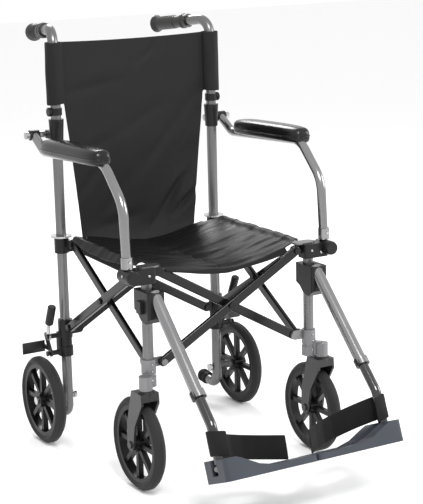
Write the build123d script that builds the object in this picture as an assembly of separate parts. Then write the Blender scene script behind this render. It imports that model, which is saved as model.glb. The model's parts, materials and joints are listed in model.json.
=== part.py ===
from build123d import *
import math
import os

# Folding transit wheelchair, millimetres, +Z up, facing -Y, standing on z = 0.
# Four upright posts stand at the corners of a square and are joined by a pair of crossed bars on each side.
# Both left (+X) and right (-X) pieces come from one function; the right ones are its mirror images.

# --- driving dimensions -------------------------------------------------------------------------------------
post_span_x = 400.0            # post axis to post axis, side to side
post_span_y = 400.0            # post axis to post axis, front to back
rear_post_r = 11.5
front_post_r = 11.25
tube_wall = 1.6
running_gap = 0.08             # radial room of every pivot and sliding sleeve
open_gap = 0.5                 # radial room of the pivots that close a loop of bars
clear_gap = 0.4                # room between pieces that pass each other

# crossed bars
pivot_inset = 33.0             # bar pivots stand this far inboard of the posts
pivot_rise = 192.0             # upper pivot above lower pivot
front_pivot_low = 274.0
rear_pivot_low = 256.0
side_pivot_low = 270.0
bar_width = 20.0
bar_thickness = 10.0
outer_layer = 3.0              # middle of the outer bar, outboard of the post axes
inner_layer = -13.0            # middle of the inner bar
bar_pin_r = 4.0
bar_pin_head_r = 7.0
bar_pin_head_h = 3.5
ear_r = 9.5

# rear posts, push handles and their fittings
handle_height = 940.0
handle_reach = 179.0           # post axis to the end of the handle tube
handle_toe_in = 38.0           # the handle's end stands this far inboard of the post
handle_drop = 20.0
handle_bend_r = 32.0
grip_length = 118.0
grip_r = 15.0
tip_lever_height = 54.0
tip_lever_reach = 68.0
tip_lever_rise = 8.0
tip_bend_r = 24.0
tip_cap_length = 34.0
tip_cap_r = 15.0
low_collar_bottom = 197.0
low_collar_top = 282.0
low_collar_r = 16.5
arm_sleeve_bottom = 690.0
arm_sleeve_top = 741.0
arm_sleeve_bottom_r = 14.5
arm_sleeve_top_r = 17.0
knob_height = 758.0
knob_r = 10.0
knob_length = 7.0
knob_boss = 12.0               # face of the plunger's boss, outboard of the post axis
knob_pull = 5.0
seat_collar_bottom = 438.0
seat_collar_r = 16.5
seat_flange_r = 24.0
seat_flange_height = 478.0
seat_flange_thickness = 4.0

# wheels
wheel_r = 100.0
tyre_width = 28.0
tyre_depth = 17.0
rim_wall = 9.0
hub_r = 17.0
hub_width = 30.0
spoke_count = 8
spoke_width = 10.0
spoke_thickness = 12.0
axle_r = 5.0
rear_wheel_offset = 60.0       # wheel centre plane outboard of the post axis
rear_wheel_set_back = 3.0

# front posts, casters
front_post_bottom = 225.0
front_post_top = 446.0
casting_top = 285.0
casting_r = 15.5
caster_offset_x = 19.5         # swivel axis outboard of the post
caster_offset_y = 21.5         # swivel axis in front of the post
caster_trail = 37.5
caster_stem_r = 6.0
caster_housing_r = 14.0
caster_housing_bottom = 226.0
caster_housing_top = 256.0
fork_wall = 5.0
fork_gap = 1.2                 # hub face to fork leg

# front brackets that carry the seat and the arm sockets
bracket_bottom = 447.0
bracket_top = 478.0
plug_r = 9.5
plug_bottom = 228.0
arm_x = 242.0                  # centre plane of the arm tubes
boss_r = 15.5
boss_front_y = -233.0
boss_height = 466.0

# arms
arm_tube_r = 10.0
arm_pivot_y = 229.0
arm_pivot_height = 706.0
arm_rod_r = 5.0
arm_rod_end_x = 263.0
arm_rod_head_r = 8.0
arm_eye_r = 11.5
arm_eye_half = 11.0            # half the length of the eye
arm_bend_radii = [32.0, 58.0, 72.0]
arm_rear_bend = (176.0, 674.0)
arm_front_bend = (-112.0, 688.0)
arm_knee = (-190.0, 612.0)
ferrule_bottom = 482.4
ferrule_top = 506.0
ferrule_r = 12.5
pad_length = 272.0
pad_width = 50.0
pad_thickness = 34.0
pad_offset = 4.5               # middle of the pad, outboard of the tube
pad_end_r = 22.0
pad_rear_y = 151.0

# footrests
foot_block_bottom = 368.0
foot_block_top = 434.0
foot_block_half_width = 20.0
foot_block_front = 45.0
foot_block_back = 22.0
foot_block_step = 26.0         # the back of the block ends this far above its front
hanger_x = 198.0
hanger_angle = 45.0
hanger_top = (-232.0, 427.0)
hanger_r = 12.75
hanger_end_height = 262.0
hanger_collar_r = 15.5
hanger_collar_length = 16.0
foot_tube_r = 10.5
foot_tube_inside = 150.0
foot_tube_travel = 55.0
plate_lean = 21.5              # toe-up tilt of the footplate
plate_pin = (-481.0, 131.0)    # y and z of the footplate pin
plate_inner_gap = 1.0
plate_outer_x = 212.0
plate_depth = 92.0
plate_thickness = 13.0
plate_pin_height = 27.0        # pin above the underside of the plate
plate_shoulder = 45.0
plate_corner_r = 12.0
foot_eye_r = 11.5
foot_eye_half = 11.0           # half the length of the footrest tube's eye
strap_height = 50.0
strap_bow = 42.0               # how far the strap bows back behind the pin
strap_inner_end = 50.0         # from the middle plane to the strap's inner end
strap_thickness = 2.6

# brakes
brake_upper_height = 247.0
brake_lower_height = 207.0
brake_rod_r = 4.0
brake_link_x = 236.0
brake_plate = 4.0
brake_grip_r = 9.5
brake_grip_length = 50.0
brake_shoe_width = 55.0
brake_shoe_height = 26.0

# seat sling and back panel
seat_height = 482.0            # top of the sling along its side edges
seat_sag = 35.0
seat_cloth = 4.0
seat_half_width = 196.0
seat_front_y = -196.0
seat_rear_y = 175.0
seat_centre_gap = 1.0
back_top = 911.0
back_pocket_bottom = 774.0
back_bottom = 462.0
back_bottom_half_width = 147.0
back_cloth = 5.0

# --- derived positions --------------------------------------------------------------------------------------
half_x = post_span_x / 2
half_y = post_span_y / 2
front_y = -half_y
rear_y = half_y
span_x = post_span_x - 2 * pivot_inset
span_y = post_span_y - 2 * pivot_inset
bar_space = outer_layer - inner_layer - bar_thickness    # between the two bars of a pair
ear_thickness = bar_space - 2 * clear_gap
rear_wheel_x = half_x + rear_wheel_offset
rear_axle_y = rear_y + rear_wheel_set_back
caster_x = half_x + caster_offset_x
caster_stem_y = front_y - caster_offset_y
caster_axle_y = caster_stem_y + caster_trail
handle_end_y = rear_y + handle_reach
plate_front_y = plate_pin[0] - plate_depth / 2 * math.cos(math.radians(plate_lean))
# the origin stands on the ground, midway between the front of the footplates and the ends of the handles
origin_y = (handle_end_y + plate_front_y - 3.0) / 2


# --- small helpers ------------------------------------------------------------------------------------------
standing = (Align.CENTER, Align.CENTER, Align.MIN)     # a cylinder that starts at its plane


def cyl(r, p, q):
    """A solid cylinder of radius r from point p to point q."""
    p, q = Vector(*p), Vector(*q)
    return Plane(origin=p, z_dir=q - p) * Cylinder(r, (q - p).length, align=standing)


def ring(r_out, r_in, p, q):
    """A sleeve from p to q."""
    return cyl(r_out, p, q) - cyl(r_in, p, q)


def block(x, y, z):
    """A box given by its limits along each axis."""
    (x0, x1), (y0, y1), (z0, z1) = sorted(x), sorted(y), sorted(z)
    return Pos((x0 + x1) / 2, (y0 + y1) / 2, (z0 + z1) / 2) * Box(x1 - x0, y1 - y0, z1 - z0)


def rod(points, bends, r):
    """A round bar that follows straight runs joined by tangent arcs."""
    path = FilletPolyline(*points, radius=bends) if len(points) > 2 else Line(*points)
    return sweep(Plane(origin=path @ 0, z_dir=path % 0) * Circle(r), path=path)


def tube(points, bends, r, wall=tube_wall):
    """A rod with its bore taken out."""
    return rod(points, bends, r) - rod(points, bends, r - wall)


def side_plane(side, height=0.0, layer=0.0):
    """The plane of one side of the square: x runs along the side, y is up and z points outwards."""
    outwards = {"front": (0, -1, 0), "rear": (0, 1, 0), "left": (1, 0, 0), "right": (-1, 0, 0)}[side]
    half = half_y if side in ("front", "rear") else half_x
    along = Vector(0, 0, 1).cross(Vector(*outwards))
    origin = Vector(*outwards) * (half + layer) + Vector(0, 0, height)
    return Plane(origin=origin, x_dir=along, z_dir=outwards)


def side_span(side):
    """Distance between the bar pivots along a side."""
    return span_x if side in ("front", "rear") else span_y


def low_height(side):
    """Height of the lower bar pivots of a side."""
    return {"front": front_pivot_low, "rear": rear_pivot_low}.get(side, side_pivot_low)


# --- crossed bars -------------------------------------------------------------------------------------------
def crossed_bar(side, rises_to, layer, open_ends=()):
    """One flat-oval bar; rises_to is +1 or -1 along the side, open_ends names the ends that close a loop."""
    half = side_span(side) / 2
    length = math.hypot(2 * half, pivot_rise)
    slope = rises_to * math.degrees(math.atan2(pivot_rise, 2 * half))
    plane = side_plane(side, low_height(side) + pivot_rise / 2, layer - bar_thickness / 2)
    turn = Rot(0, 0, slope)
    bar = extrude(turn * SlotCenterToCenter(length, bar_width), bar_thickness)
    bar = fillet(bar.edges().filter_by(lambda e: e.length > 100), bar_thickness * 0.3)
    holes = {"high": rises_to * length / 2, "low": -rises_to * length / 2, "middle": 0.0}
    for end, x in holes.items():
        gap = open_gap if end in open_ends else running_gap
        if end == "middle" and layer == inner_layer:
            gap = 0.0
        bar -= turn * Pos(x, 0, bar_thickness / 2) * Cylinder(bar_pin_r + gap, 2 * bar_thickness)
    if layer == inner_layer:
        reach = 2 * bar_thickness + bar_space + clear_gap
        pin = Cylinder(bar_pin_r, reach, align=standing)
        pin += Pos(0, 0, bar_thickness) * Cylinder(bar_pin_head_r, bar_space - clear_gap, align=standing)
        cap = Cylinder(bar_pin_head_r, bar_pin_head_h, align=standing)
        pin += Pos(0, 0, -bar_pin_head_h) * cap
        pin += Pos(0, 0, reach) * cap
        return [plane * bar, plane * pin]
    return [plane * bar]


def ear_and_pin(side, corner, height, layer, body_r):
    """A lug that runs between the two bars' planes, and the pin on the side where its bar lies."""
    half = side_span(side) / 2
    post = corner * (half + pivot_inset)
    at = corner * half
    plane = side_plane(side, height, inner_layer + bar_thickness / 2 + clear_gap)
    near, far = sorted((at, post - corner * (body_r - 3)))
    lug = Pos((near + far) / 2, 0) * Rectangle(far - near, 2 * ear_r) + Pos(at, 0) * Circle(ear_r)
    lug = extrude(lug, ear_thickness) - Pos(at, 0, 0) * Cylinder(bar_pin_r, 4 * ear_thickness)
    reach = ear_thickness + 2 * clear_gap + bar_thickness
    pin = Cylinder(bar_pin_r, reach, align=standing)
    pin += Pos(0, 0, reach) * Cylinder(bar_pin_head_r, bar_pin_head_h, align=standing)
    if layer == inner_layer:
        pin = Pos(0, 0, ear_thickness) * (Rot(180, 0, 0) * pin)
    return plane * lug, plane * (Pos(at, 0, 0) * pin)


def fitting(collar, ears, post_cut):
    """Joins the lugs to a collar, clears the post's bore again and adds the pins as separate solids."""
    body = collar
    pins = []
    for lug, pin in ears:
        body += lug
        pins.append(pin)
    body -= post_cut
    for pin in pins:
        body -= pin
    return [body, *pins]


# --- rear posts ---------------------------------------------------------------------------------------------
def rear_post():
    """Handle, post and tip lever bent from one tube, with the wheel's axle bolt and its spacer."""
    end = handle_end()
    top = (half_x, rear_y, handle_height)
    foot = (half_x, rear_y, tip_lever_height)
    tip = (half_x, rear_y + tip_lever_reach, tip_lever_height + tip_lever_rise)
    post = tube([end, top, foot, tip], [handle_bend_r, tip_bend_r], rear_post_r)
    axle_z = wheel_r
    bolt_start = half_x - rear_post_r - 4
    post -= cyl(axle_r, (bolt_start, rear_axle_y, axle_z), (half_x + 40, rear_axle_y, axle_z))
    outer = rear_wheel_x + hub_width / 2
    axle = cyl(axle_r, (bolt_start, rear_axle_y, axle_z), (outer + 1, rear_axle_y, axle_z))
    axle += cyl(9, (bolt_start - 5, rear_axle_y, axle_z), (bolt_start, rear_axle_y, axle_z))
    axle += cyl(9, (outer + 0.4, rear_axle_y, axle_z), (outer + 5, rear_axle_y, axle_z))
    hub_face = rear_wheel_x - hub_width / 2 - clear_gap
    spacer = ring(9, axle_r, (half_x, rear_axle_y, axle_z), (hub_face, rear_axle_y, axle_z))
    spacer -= rod([end, top, foot, tip], [handle_bend_r, tip_bend_r], rear_post_r)
    return [post, axle, spacer]


def handle_end():
    """Middle of the open end of the handle tube."""
    return Vector(half_x - handle_toe_in, handle_end_y, handle_height - handle_drop)


def handle_direction():
    """Unit vector along the handle, towards the rear."""
    return (handle_end() - Vector(half_x, rear_y, handle_height)).normalized()


def push_grip():
    """Ribbed grip pushed on to the end of the handle."""
    along = handle_direction()
    start = handle_end() - along * (grip_length - 6)
    plane = Plane(origin=start, z_dir=along)
    rim_start = grip_length - 15
    front = [(rear_post_r, 0), (grip_r + 1, 0), (grip_r + 1, 12), (grip_r + 2.5, 14), (grip_r + 2.5, 20),
             (grip_r - 0.5, 23), (grip_r - 0.5, 42), (grip_r + 0.5, 44)]
    rear = [(grip_r + 0.5, rim_start), (grip_r + 5.5, grip_length - 5), (grip_r + 5.5, grip_length - 2),
            (grip_r + 3.5, grip_length), (0, grip_length), (0, grip_length - 5.5),
            (rear_post_r, grip_length - 5.5)]
    outline = front + rear
    face = make_face(Polyline(*[(x, 0, z) for x, z in outline], close=True))
    return [plane * revolve(face, Axis.Z)]


def tip_cap():
    """Ribbed rubber cap on the lever at the foot of the rear post."""
    run = Vector(0, tip_lever_reach, tip_lever_rise).normalized()
    end = Vector(half_x, rear_y + tip_lever_reach, tip_lever_height + tip_lever_rise)
    start = end - run * (tip_cap_length - 6)
    plane = Plane(origin=start, z_dir=run)
    cap = Cylinder(tip_cap_r - 1, tip_cap_length, align=standing)
    cap = fillet(cap.edges().sort_by(Axis.Z)[-1], 5)
    rib_count = 4
    for i in range(rib_count):
        z = 4 + i * (tip_cap_length - 14) / (rib_count - 1)
        cap += Pos(0, 0, z) * Cylinder(tip_cap_r, 3.2)
    cap -= Cylinder(rear_post_r, tip_cap_length - 5.5, align=standing)
    return [plane * cap]


def post_collars(low_layer):
    """The low collar with its bar pivots and brake mount, and the sleeve that carries the arm."""
    post_cut = cyl(rear_post_r, (half_x, rear_y, 0), (half_x, rear_y, handle_height - 60))
    collar = cyl(low_collar_r, (half_x, rear_y, low_collar_bottom), (half_x, rear_y, low_collar_top))
    waist_low, waist_high = low_collar_bottom + 22, rear_pivot_low - 16
    collar -= ring(low_collar_r + 1, low_collar_r - 2,
                   (half_x, rear_y, waist_low), (half_x, rear_y, waist_high))
    ears = [ear_and_pin("rear", -1, rear_pivot_low, low_layer, low_collar_r),
            ear_and_pin("left", 1, side_pivot_low, outer_layer, low_collar_r)]
    parts = fitting(collar, ears, post_cut)
    strap_x = half_x + low_collar_r
    mount = block((strap_x - 1, strap_x + 4), (rear_y - 7, rear_y + 7),
                  (brake_lower_height - 7, brake_upper_height + 7))
    for z in (brake_lower_height, brake_upper_height):
        mount += cyl(brake_rod_r + 2, (strap_x, rear_y, z), (brake_link_x - clear_gap, rear_y, z))
        stop = brake_link_x + 2 * brake_plate + 3 * clear_gap
        mount += cyl(brake_rod_r, (strap_x, rear_y, z), (stop, rear_y, z))
        mount += cyl(brake_rod_r + 2, (stop, rear_y, z), (stop + 3, rear_y, z))
    mount -= cyl(low_collar_r, (half_x, rear_y, low_collar_bottom), (half_x, rear_y, low_collar_top))
    sleeve = Pos(half_x, rear_y, arm_sleeve_bottom) * Cone(
        arm_sleeve_bottom_r, arm_sleeve_top_r, arm_sleeve_top - arm_sleeve_bottom,
        align=standing)
    lug_x = (half_x + 2, half_x + 15)
    lug = block(lug_x, (rear_y, arm_pivot_y), (arm_pivot_height - 9, arm_pivot_height + 9))
    lug += cyl(9, (lug_x[0], arm_pivot_y, arm_pivot_height), (lug_x[1], arm_pivot_y, arm_pivot_height))
    sleeve += lug
    sleeve -= cyl(arm_rod_r + running_gap, (half_x - 20, arm_pivot_y, arm_pivot_height),
                  (half_x + 40, arm_pivot_y, arm_pivot_height))
    rivet_z = arm_sleeve_top - 12
    knob_ring = cyl(14, (half_x, rear_y, knob_height - 8), (half_x, rear_y, knob_height + 8))
    knob_ring += cyl(6, (half_x, rear_y, knob_height), (half_x + knob_boss, rear_y, knob_height))
    knob_ring &= block((half_x - 20, half_x + knob_boss), (rear_y - 20, rear_y + 20),
                       (knob_height - 8, knob_height + 8))
    knob_ring -= cyl(4 + running_gap, (half_x, rear_y, knob_height), (half_x + 40, rear_y, knob_height))
    rivet = cyl(4.5, (half_x, rear_y - 12, rivet_z), (half_x, rear_y - 18.5, rivet_z))
    sleeve -= rivet
    rivet -= post_cut
    return [*parts, mount, sleeve - post_cut, rivet, knob_ring - post_cut]


def lock_knob():
    """Spring plunger that locks the upper half of the post; it is pulled outwards."""
    start = half_x + rear_post_r + 0.3
    face = half_x + knob_boss + clear_gap
    knob = cyl(4, (start, rear_y, knob_height), (face + 1, rear_y, knob_height))
    head = cyl(knob_r, (face, rear_y, knob_height), (face + knob_length, rear_y, knob_height))
    head = fillet(head.edges(), 1.5)
    return [knob + head]


def seat_collar(high_layer):
    """Slides up the rear post when the frame folds and carries the rear corner of the seat."""
    bore = cyl(rear_post_r + running_gap, (half_x, rear_y, 0), (half_x, rear_y, handle_height - 60))
    collar = cyl(seat_collar_r, (half_x, rear_y, seat_collar_bottom),
                 (half_x, rear_y, seat_flange_height - seat_flange_thickness))
    ears = [ear_and_pin("rear", -1, rear_pivot_low + pivot_rise, high_layer, seat_collar_r),
            ear_and_pin("left", 1, side_pivot_low + pivot_rise, inner_layer, seat_collar_r)]
    parts = fitting(collar, ears, bore)
    flange = cyl(seat_flange_r, (half_x, rear_y, seat_flange_height - seat_flange_thickness),
                 (half_x, rear_y, seat_flange_height))
    return [*parts, flange - bore]


# --- front posts and casters --------------------------------------------------------------------------------
def front_post():
    """Plain lower tube of the front leg."""
    return [ring(front_post_r, front_post_r - tube_wall, (half_x, front_y, front_post_bottom),
                 (half_x, front_y, front_post_top - 0.6))]


def caster_housing(low_layer):
    """Casting on the front post that carries the low bar pivots and the caster's swivel bore."""
    post_cut = cyl(front_post_r, (half_x, front_y, front_post_bottom), (half_x, front_y, front_post_top))
    collar = cyl(casting_r, (half_x, front_y, front_post_bottom + 2), (half_x, front_y, casting_top))
    collar -= ring(casting_r + 1, casting_r - 1.5, (half_x, front_y, 248), (half_x, front_y, 254))
    stem = ((caster_x, caster_stem_y, caster_housing_bottom), (caster_x, caster_stem_y, caster_housing_top))
    collar += cyl(caster_housing_r, *stem)
    bridge = Plane(origin=((half_x + caster_x) / 2, (front_y + caster_stem_y) / 2, caster_housing_bottom + 2),
                   x_dir=(caster_offset_x, -caster_offset_y, 0), z_dir=(0, 0, 1))
    span = math.hypot(caster_offset_x, caster_offset_y)
    collar += bridge * Box(span, 16, 30, align=standing)
    ears = [ear_and_pin("front", 1, front_pivot_low, low_layer, casting_r),
            ear_and_pin("left", -1, side_pivot_low, inner_layer, casting_r)]
    bore = cyl(caster_stem_r + running_gap, (caster_x, caster_stem_y, 0),
               (caster_x, caster_stem_y, caster_housing_top - 5))
    return fitting(collar, ears, post_cut + bore)


def caster_fork():
    """Swivelling fork with its stem and the axle bolt."""
    inner = hub_width / 2 + fork_gap
    outer = inner + fork_wall
    crown_bottom = wheel_r * 2 + 5
    crown_top = caster_housing_bottom - 1
    leg_top_y = caster_stem_y + 4
    side = Plane(origin=(caster_x, 0, 0), x_dir=(0, 1, 0), z_dir=(1, 0, 0))
    profile = make_face(Polyline((leg_top_y - 20, crown_top - 3), (leg_top_y + 22, crown_top - 3),
                                 (caster_axle_y + 12, wheel_r + 45), (caster_axle_y + 13, wheel_r),
                                 (caster_axle_y - 13, wheel_r), (caster_axle_y - 22, wheel_r + 45),
                                 (leg_top_y - 22, crown_bottom - 6), close=True))
    profile += Pos(caster_axle_y, wheel_r) * Circle(13)
    fork = side.offset(-outer) * extrude(profile, 2 * outer)
    fork -= block((caster_x - inner, caster_x + inner), (caster_stem_y - 100, caster_axle_y + 100),
                  (0, crown_bottom))
    fork += cyl(17, (caster_x, caster_stem_y, crown_bottom), (caster_x, caster_stem_y, crown_top))
    fork += cyl(caster_stem_r, (caster_x, caster_stem_y, crown_bottom + 3),
                (caster_x, caster_stem_y, caster_housing_top - 6))
    fork -= cyl(axle_r, (caster_x - 40, caster_axle_y, wheel_r), (caster_x + 40, caster_axle_y, wheel_r))
    bolt = cyl(axle_r, (caster_x - outer - 0.5, caster_axle_y, wheel_r),
               (caster_x + outer + 0.5, caster_axle_y, wheel_r))
    for way in (-1, 1):
        head = caster_x + way * outer
        bolt += cyl(8, (head, caster_axle_y, wheel_r), (head + way * 3.2, caster_axle_y, wheel_r))
    return [fork, bolt]


def tyre(x, y):
    """A plump rubber tyre with a rounded tread."""
    base_r = wheel_r - tyre_depth
    half = tyre_width / 2
    tread = half * 0.62
    face = make_face(Polyline((base_r, 0, -half * 0.72), (base_r + tyre_depth * 0.45, 0, -half),
                              (wheel_r - 3.2, 0, -tread),
                              (wheel_r, 0, -tread * 0.45), (wheel_r, 0, tread * 0.45),
                              (wheel_r - 3.2, 0, tread),
                              (base_r + tyre_depth * 0.45, 0, half), (base_r, 0, half * 0.72), close=True))
    ring_solid = revolve(face, Axis.Z)
    return [Plane(origin=(x, y, wheel_r), x_dir=(0, 1, 0), z_dir=(1, 0, 0)) * ring_solid]


def rim(x, y):
    """A moulded wheel: rim band, spokes and hub with a running bore."""
    base_r = wheel_r - tyre_depth
    half = tyre_width / 2 * 0.72
    band = Cylinder(base_r, 2 * half) - Cylinder(base_r - rim_wall, 4 * half)
    hub = Cylinder(hub_r, hub_width)
    wheel = band + hub
    for i in range(spoke_count):
        length = base_r - rim_wall + 1 - hub_r + 2
        spoke = Pos(hub_r - 2 + length / 2, 0, 0) * Box(length, spoke_width, spoke_thickness)
        wheel += Rot(0, 0, i * 360 / spoke_count) * spoke
    wheel -= Cylinder(axle_r + running_gap, 2 * hub_width)
    return [Plane(origin=(x, y, wheel_r), x_dir=(0, 1, 0), z_dir=(1, 0, 0)) * wheel]


def front_bracket(high_layer):
    """Moulded bracket on a plug tube that slides in the front post; it also holds the arm socket."""
    body = block((half_x - 17, arm_x + 2), (front_y - 16, front_y + 16), (bracket_bottom, bracket_top))
    body = fillet(body.edges().filter_by(Axis.Z), 6)
    boss = cyl(boss_r, (arm_x, boss_front_y + 8, boss_height), (arm_x, front_y + 18, boss_height))
    dome = Pos(arm_x, boss_front_y + 8, boss_height) * Sphere(boss_r)
    dome &= block((arm_x - 20, arm_x + 20), (boss_front_y, boss_front_y + 8),
                  (boss_height - 20, boss_height + 20))
    body += boss + dome
    plug_cut = cyl(plug_r, (half_x, front_y, 0), (half_x, front_y, bracket_top - 6))
    ears = [ear_and_pin("front", 1, front_pivot_low + pivot_rise, high_layer, 15),
            ear_and_pin("left", -1, side_pivot_low + pivot_rise, outer_layer, 15)]
    parts = fitting(body, ears, plug_cut)
    plug = ring(plug_r, plug_r - tube_wall,
                (half_x, front_y, plug_bottom), (half_x, front_y, bracket_top - 6))
    plate = Pos(half_x - 8, front_y + 6, bracket_top) * extrude(SlotOverall(52, 28, rotation=0), 3.5)
    return [*parts, plug, plate]


# --- arms ---------------------------------------------------------------------------------------------------
def arm_rod():
    """Cross rod on which the arm swings up."""
    lug_face = half_x + 15
    head_end = half_x + 2 - clear_gap
    runs = [(arm_rod_r, half_x - 4, arm_rod_end_x - 4), (arm_rod_head_r, head_end - 4, head_end),
            (arm_rod_head_r, lug_face + clear_gap, arm_x - arm_eye_half - clear_gap),
            (arm_rod_head_r, arm_x + arm_eye_half + clear_gap, arm_rod_end_x)]
    shaft = None
    for r, x0, x1 in runs:
        run = cyl(r, (x0, arm_pivot_y, arm_pivot_height), (x1, arm_pivot_y, arm_pivot_height))
        shaft = run if shaft is None else shaft + run
    return [shaft]


def arm_route():
    """Corner points of the arm tube from its eye to its socket, and the radius at each corner."""
    points = [(arm_x, arm_pivot_y, arm_pivot_height), (arm_x, *arm_rear_bend), (arm_x, *arm_front_bend),
              (arm_x, *arm_knee), (arm_x, front_y + 0.5, ferrule_bottom + 1)]
    return points, arm_bend_radii


def arm_tube():
    """Bent arm tube with the eye it swings on, and the ferrule and push button of its front end."""
    solid = tube(*arm_route(), arm_tube_r)
    eye = cyl(arm_eye_r, (arm_x - arm_eye_half, arm_pivot_y, arm_pivot_height),
              (arm_x + arm_eye_half, arm_pivot_y, arm_pivot_height))
    solid -= eye
    solid = solid.solids().sort_by(SortBy.VOLUME)[-1]
    eye = eye - cyl(arm_rod_r + running_gap, (arm_x - 20, arm_pivot_y, arm_pivot_height),
                    (arm_x + 20, arm_pivot_y, arm_pivot_height))
    ferrule = cyl(ferrule_r, (arm_x, front_y, ferrule_bottom), (arm_x, front_y, ferrule_top))
    ferrule -= rod(*arm_route(), arm_tube_r)
    button = cyl(3, (arm_x, front_y - ferrule_r + 2, ferrule_top - 9),
                 (arm_x, front_y - ferrule_r - 2, ferrule_top - 9))
    button -= ferrule
    button = button.solids().sort_by(Axis.Y)[0]
    return [solid, eye, ferrule, button]


def arm_slope():
    """Angle by which the arm's straight run rises towards the front."""
    (y0, z0), (y1, z1) = arm_rear_bend, arm_front_bend
    return math.atan2(z1 - z0, y0 - y1)


def arm_pad():
    """Crowned arm pad that sits on the straight run of the arm tube."""
    y0, z0 = arm_rear_bend
    slope = arm_slope()
    x = arm_x + pad_offset
    # in this plane x runs forwards along the arm and y is upwards
    run = Plane(origin=(x, pad_rear_y, z0 + (y0 - pad_rear_y) * math.tan(slope)),
                x_dir=(0, -math.cos(slope), math.sin(slope)), z_dir=(-1, 0, 0))
    low = -2.0
    high = low + pad_thickness
    outline = [(0, low), (pad_length, low), (pad_length, low + pad_thickness * 0.5),
               (pad_length * 0.88, high - 3), (pad_length * 0.5, high), (pad_length * 0.12, high - 3),
               (0, low + pad_thickness * 0.5)]
    pad = extrude(make_face(Polyline(*outline, close=True)), pad_width / 2, both=True)
    plan = extrude(RectangleRounded(pad_length, pad_width, pad_end_r), 2 * pad_thickness, both=True)
    pad = run * (pad & Pos(pad_length / 2, 0, 0) * Rot(90, 0, 0) * plan)
    pad -= rod(*arm_route(), arm_tube_r)
    return [pad.solids().sort_by(SortBy.VOLUME)[-1]]


# --- footrests ----------------------------------------------------------------------------------------------
def hanger_point(height):
    """The hanger's centre line at a height."""
    return (hanger_x, hanger_top[0] - (hanger_top[1] - height) / math.tan(math.radians(hanger_angle)), height)


def footrest_block():
    """Clamp that turns on the front post and holds the top of the hanger."""
    y_back, y_front = front_y + foot_block_back, front_y - foot_block_front
    outline = [(y_back, foot_block_top), (y_front, foot_block_top), (y_front, foot_block_bottom + 12),
               (y_front + 14, foot_block_bottom), (front_y - 10, foot_block_bottom + 4),
               (front_y + 4, foot_block_bottom + foot_block_step - 8),
               (y_back, foot_block_bottom + foot_block_step)]
    side = Plane(origin=(half_x - foot_block_half_width, 0, 0), x_dir=(0, 1, 0), z_dir=(1, 0, 0))
    body = side * extrude(make_face(Polyline(*outline, close=True)), 2 * foot_block_half_width)
    body = fillet(body.edges().filter_by(Axis.Z), 6)
    body -= cyl(front_post_r + running_gap, (half_x, front_y, 0), (half_x, front_y, 600))
    top = Vector(*hanger_point(hanger_top[1]))
    low = Vector(*hanger_point(hanger_end_height))
    body -= cyl(hanger_r, top + (top - low).normalized() * 30, low)
    body = body.solids().sort_by(SortBy.VOLUME)[-1]
    side_x = half_x + foot_block_half_width
    lever = block((side_x, side_x + 7), (front_y - 22, front_y - 4),
                  (foot_block_bottom + 20, foot_block_bottom + 46))
    return [body, lever]


def hanger_tube():
    """Upper tube of the footrest with its end cap and the collar that holds the lower tube."""
    top, low = hanger_point(hanger_top[1]), hanger_point(hanger_end_height)
    along = (Vector(*low) - Vector(*top)).normalized()
    body = ring(hanger_r, hanger_r - tube_wall, top, low)
    cap = cyl(hanger_r, Vector(*top) - along * 4, top)
    collar_start = Vector(*low) - along * 4
    collar_end = Vector(*low) + along * (hanger_collar_length - 4)
    collar = ring(hanger_collar_r, foot_tube_r + running_gap, low, collar_end)
    collar += ring(hanger_collar_r, hanger_r, collar_start, low)
    return [body, cap, collar]


def footrest_tube():
    """Lower tube that slides in the hanger and ends in the eye that the footplate turns on."""
    lean = math.radians(plate_lean)
    along = Vector(0, math.sin(lean), math.cos(lean))
    pin = Vector(hanger_x, *plate_pin)
    inside = Vector(*hanger_point(hanger_end_height)) + Vector(
        0, math.cos(math.radians(hanger_angle)), math.sin(math.radians(hanger_angle))) * foot_tube_inside
    # the corner is where the hanger's line crosses the line through the pin
    y0, z0 = hanger_point(0)[1:]
    slope = math.tan(math.radians(hanger_angle))
    up_from_pin = ((pin.Y - y0) * slope - pin.Z) / (along.Z - along.Y * slope)
    corner = pin + along * up_from_pin
    path = [tuple(inside), tuple(corner), tuple(pin + along * 9)]
    solid = tube(path, [30], foot_tube_r)
    flip = Vector(0, -math.cos(lean), math.sin(lean))
    eye = cyl(foot_eye_r, pin - flip * foot_eye_half, pin + flip * foot_eye_half)
    solid -= eye
    solid = solid.solids().sort_by(SortBy.VOLUME)[-1]
    eye -= cyl(bar_pin_r + running_gap, pin - flip * 20, pin + flip * 20)
    return [solid, eye]


def plate_plane():
    """Plane across the footplate's middle: x runs outwards, y is the plate's own up, z points to the rear."""
    lean = math.radians(plate_lean)
    pin = Vector(hanger_x, *plate_pin)
    up = Vector(0, math.sin(lean), math.cos(lean))
    back = Vector(1, 0, 0).cross(up)
    return Plane(origin=pin - up * plate_pin_height, x_dir=(1, 0, 0), z_dir=back)


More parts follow.
